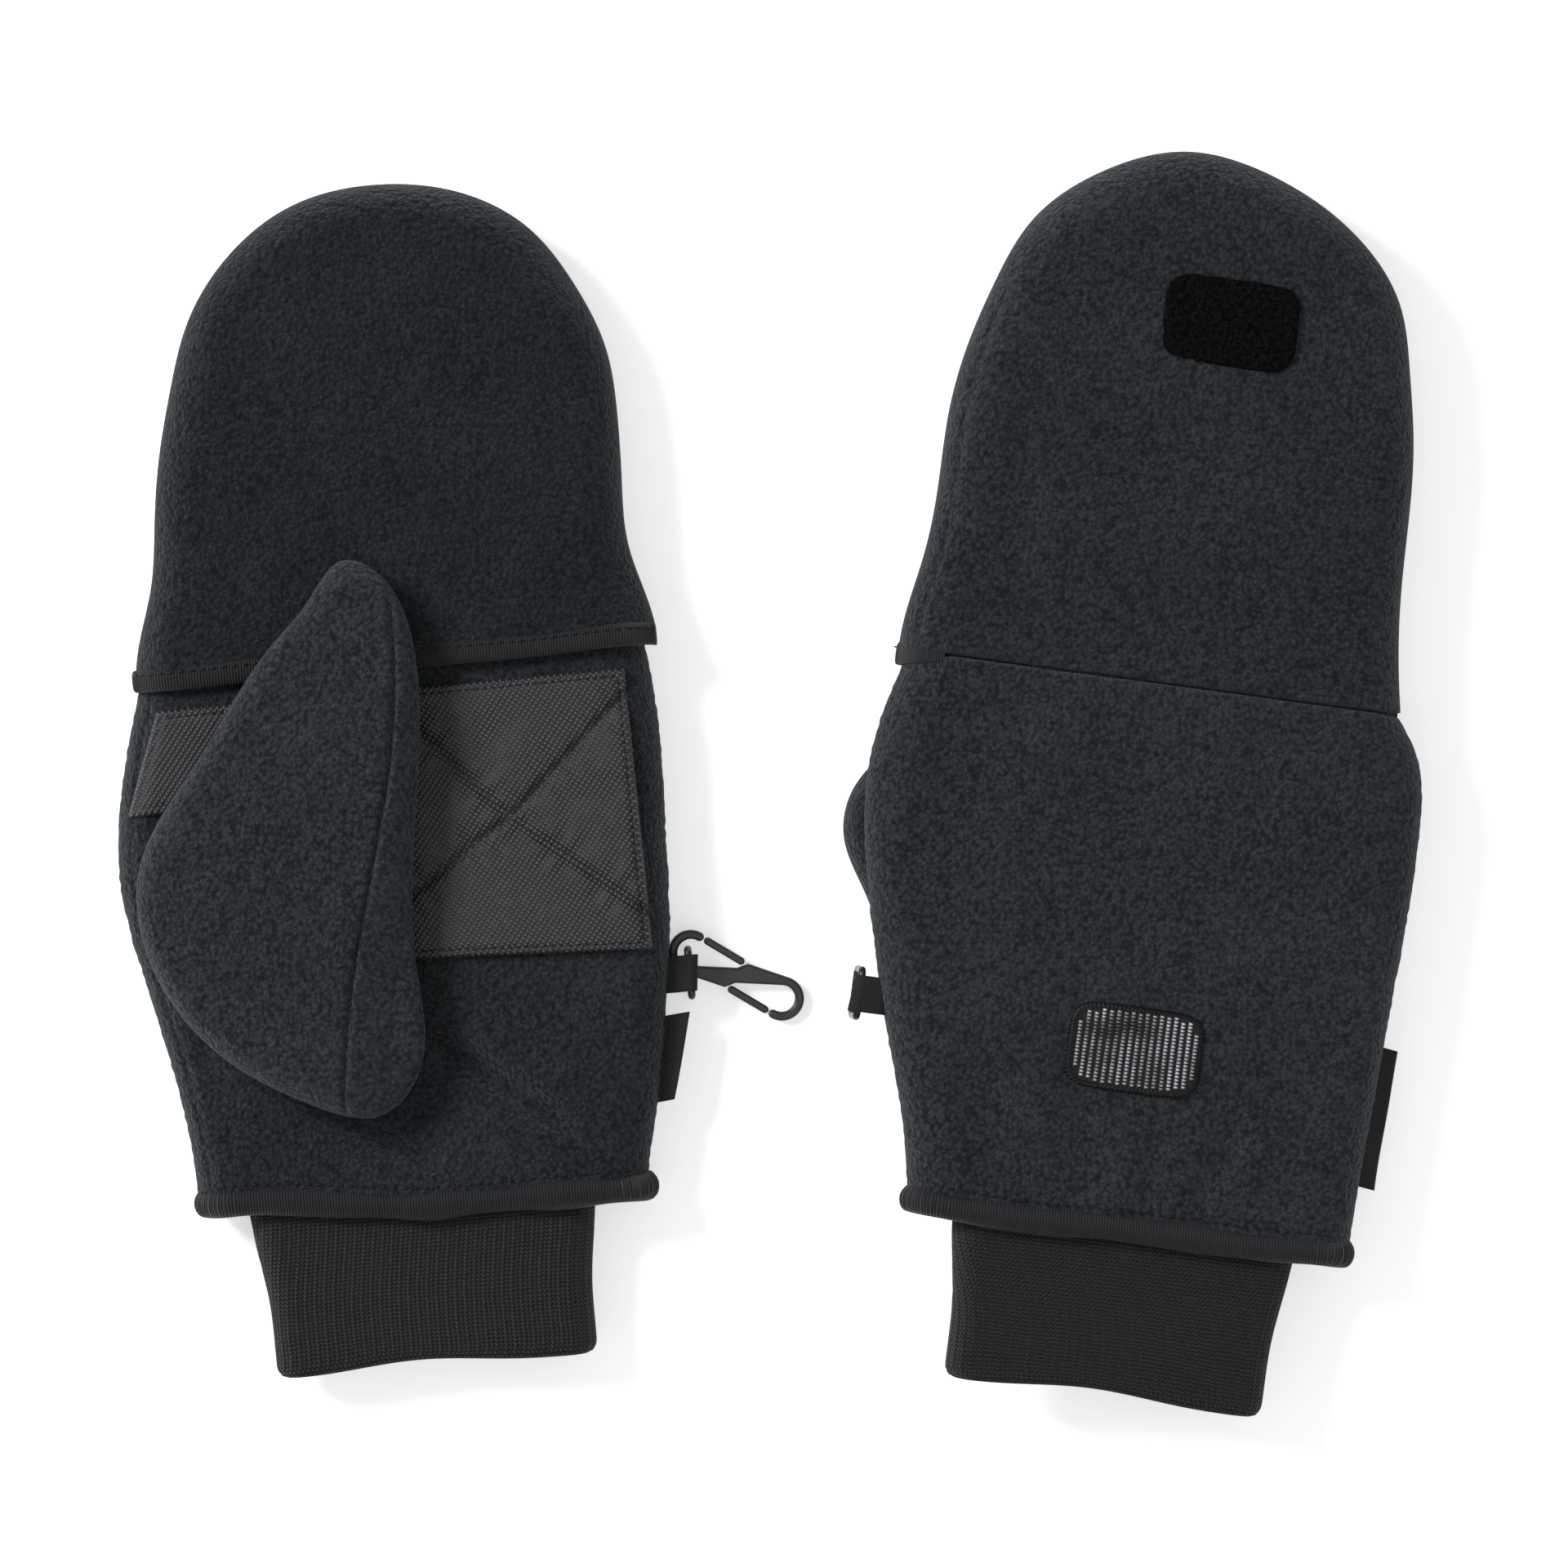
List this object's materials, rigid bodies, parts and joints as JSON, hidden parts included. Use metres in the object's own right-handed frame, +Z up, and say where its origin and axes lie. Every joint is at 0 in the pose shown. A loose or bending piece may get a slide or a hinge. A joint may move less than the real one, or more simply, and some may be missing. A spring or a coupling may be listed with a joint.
{
  "type": "convertible flip-top mittens",
  "caption": "Pair of fleece mittens with a fold-back fingertip cap over open finger stalls, a grip palm patch, a folded thumb, a rib-knit cuff and a hanging loop with a ring and a gated clip.",
  "frame": {"origin": "on the table, under the middle of the pair's bounding box", "axes": "+Z up from the table; +X across the pair from the left mitten to the right one; +Y along the mittens from the cuffs to the fingertips"},
  "size_m": [0.32, 0.3081, 0.0398],
  "materials": {
    "fleece": "matte brushed fleece",
    "binding": "fine rib binding",
    "grip_fabric": "embossed coated grip fabric, semi-matte",
    "stall_knit": "thin knitted fleece",
    "rib_knit": "rib knit",
    "hook_tape": "stiff plastic hooks on woven tape, glossy tips",
    "loop_tape": "soft looped pile",
    "webbing": "fine woven tape",
    "label_cloth": "woven cloth",
    "ring_wire": "dark plated wire, polished",
    "clip_plastic": "moulded plastic, semi-gloss"
  },
  "bodies": {
    "gloves": {"left_back_panel": "fleece", "left_palm_panel": "fleece", "left_wrist_piping": "binding", "left_palm_patch": "grip_fabric", "left_index_stall": "stall_knit", "left_middle_stall": "stall_knit", "left_ring_stall": "stall_knit", "left_little_stall": "stall_knit", "left_knit_cuff": "rib_knit", "left_hook_patch": "hook_tape", "left_webbing_loop": "webbing", "left_side_label": "label_cloth", "right_back_panel": "fleece", "right_palm_panel": "fleece", "right_wrist_piping": "binding", "right_palm_patch": "grip_fabric", "right_index_stall": "stall_knit", "right_middle_stall": "stall_knit", "right_ring_stall": "stall_knit", "right_little_stall": "stall_knit", "right_knit_cuff": "rib_knit", "right_hook_patch": "hook_tape", "right_webbing_loop": "webbing", "right_side_label": "label_cloth"},
    "left_cap": {"left_cap_back_panel": "fleece", "left_cap_palm_panel": "fleece", "left_cap_binding": "binding", "left_loop_patch": "loop_tape"},
    "right_cap": {"right_cap_back_panel": "fleece", "right_cap_palm_panel": "fleece", "right_cap_binding": "binding", "right_loop_patch": "loop_tape"},
    "left_thumb": {"left_thumb_outer_panel": "fleece", "left_thumb_inner_panel": "fleece"},
    "right_thumb": {"right_thumb_outer_panel": "fleece", "right_thumb_inner_panel": "fleece"},
    "left_ring": {"left_wire_ring": "ring_wire"},
    "right_ring": {"right_wire_ring": "ring_wire"},
    "clip": {"clip_frame": "clip_plastic"},
    "front_gate": {"clip_front_gate": "clip_plastic"},
    "rear_gate": {"clip_rear_gate": "clip_plastic"}
  },
  "joints": [
    {"name": "left_cap_fold", "type": "hinge", "parent": "gloves", "child": "left_cap", "pos_m": [-0.09659, 0.03004, 0], "axis": [-0.9957, -0.0924, 0], "range_deg": [0, 178]},
    {"name": "right_cap_fold", "type": "hinge", "parent": "gloves", "child": "right_cap", "pos_m": [0.10541, 0.02185, 0.03162], "axis": [0.986, -0.1298, -0.1045], "range_deg": [0, 178]},
    {"name": "left_thumb_fold", "type": "hinge", "parent": "gloves", "child": "left_thumb", "pos_m": [-0.15676, -0.0551, 0.0229], "axis": [0.8423, -0.5391, 0], "range_deg": [0, 85]},
    {"name": "right_thumb_fold", "type": "hinge", "parent": "gloves", "child": "right_thumb", "pos_m": [0.00881, -0.04027, 0.01781], "axis": [-0.6976, 0.7117, 0.0825], "range_deg": [0, 45]},
    {"name": "left_ring_swing", "type": "hinge", "parent": "gloves", "child": "left_ring", "pos_m": [-0.02039, -0.04746, 0.0117], "axis": [0.0924, -0.9957, 0], "range_deg": [0, 60]},
    {"name": "right_ring_swing", "type": "hinge", "parent": "gloves", "child": "right_ring", "pos_m": [0.02116, -0.05199, 0.02762], "axis": [0.1305, 0.9914, 0], "range_deg": [-10, 60]},
    {"name": "clip_swing", "type": "hinge", "parent": "left_ring", "child": "clip", "pos_m": [-0.02039, -0.04746, 0.005], "axis": [0.1085, -0.0555, 0.9925], "range_deg": [-12, 4]},
    {"name": "front_gate_flex", "type": "hinge", "parent": "clip", "child": "front_gate", "pos_m": [-0.01014, -0.05178, 0.00364], "axis": [0.1085, -0.0555, 0.9925], "range_deg": [0, 20], "stiffness_Nm_per_rad": 0.02, "springref_deg": -5.73},
    {"name": "rear_gate_flex", "type": "hinge", "parent": "clip", "child": "rear_gate", "pos_m": [-0.00789, -0.04466, 0.00379], "axis": [0.1085, -0.0555, 0.9925], "range_deg": [0, 20], "stiffness_Nm_per_rad": 0.02, "springref_deg": -5.73}
  ]
}
